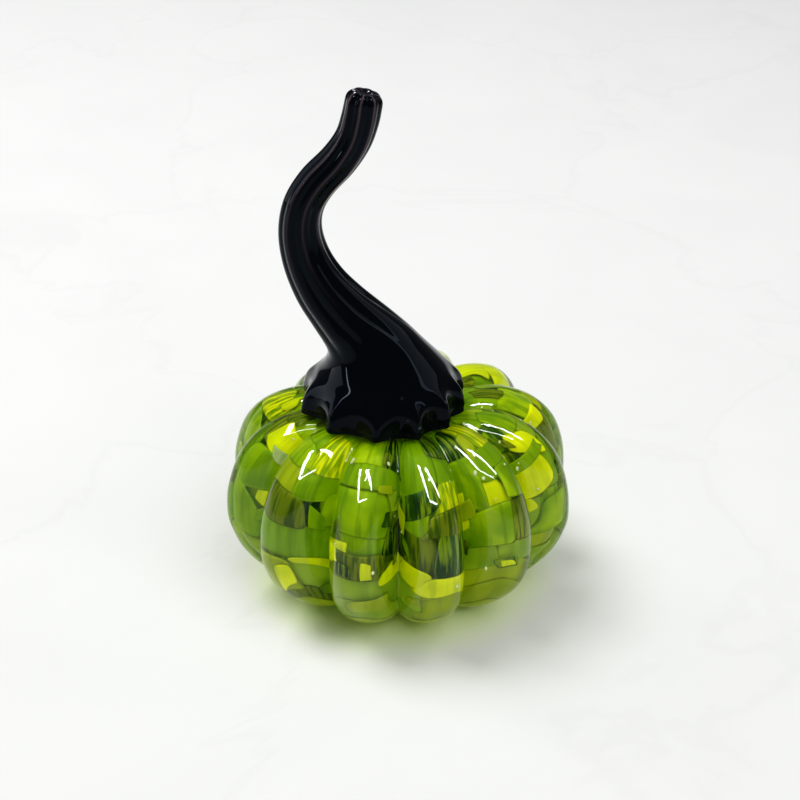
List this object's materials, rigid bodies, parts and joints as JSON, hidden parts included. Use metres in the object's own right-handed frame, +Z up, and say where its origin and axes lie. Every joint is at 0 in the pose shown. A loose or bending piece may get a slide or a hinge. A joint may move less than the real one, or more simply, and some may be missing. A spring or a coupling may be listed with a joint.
{
  "type": "glass pumpkin",
  "caption": "Squat lobed pumpkin of clear glass over green and yellow chips, with a curled dark glass stem on a scalloped collar; a desk or shelf ornament.",
  "frame": {"origin": "middle of the flat base, on the surface the pumpkin stands on", "axes": "+Z up through the crown, -Y the front, where a crease faces the viewer, +X to the viewer's right"},
  "size_m": [0.0738, 0.0745, 0.1113],
  "materials": {
    "green_glass": "clear polished casing over lime green and yellow chips",
    "dark_glass": "fire polished, nearly black"
  },
  "bodies": {
    "root": {"body": "green_glass", "stem": "dark_glass"}
  },
  "joints": []
}
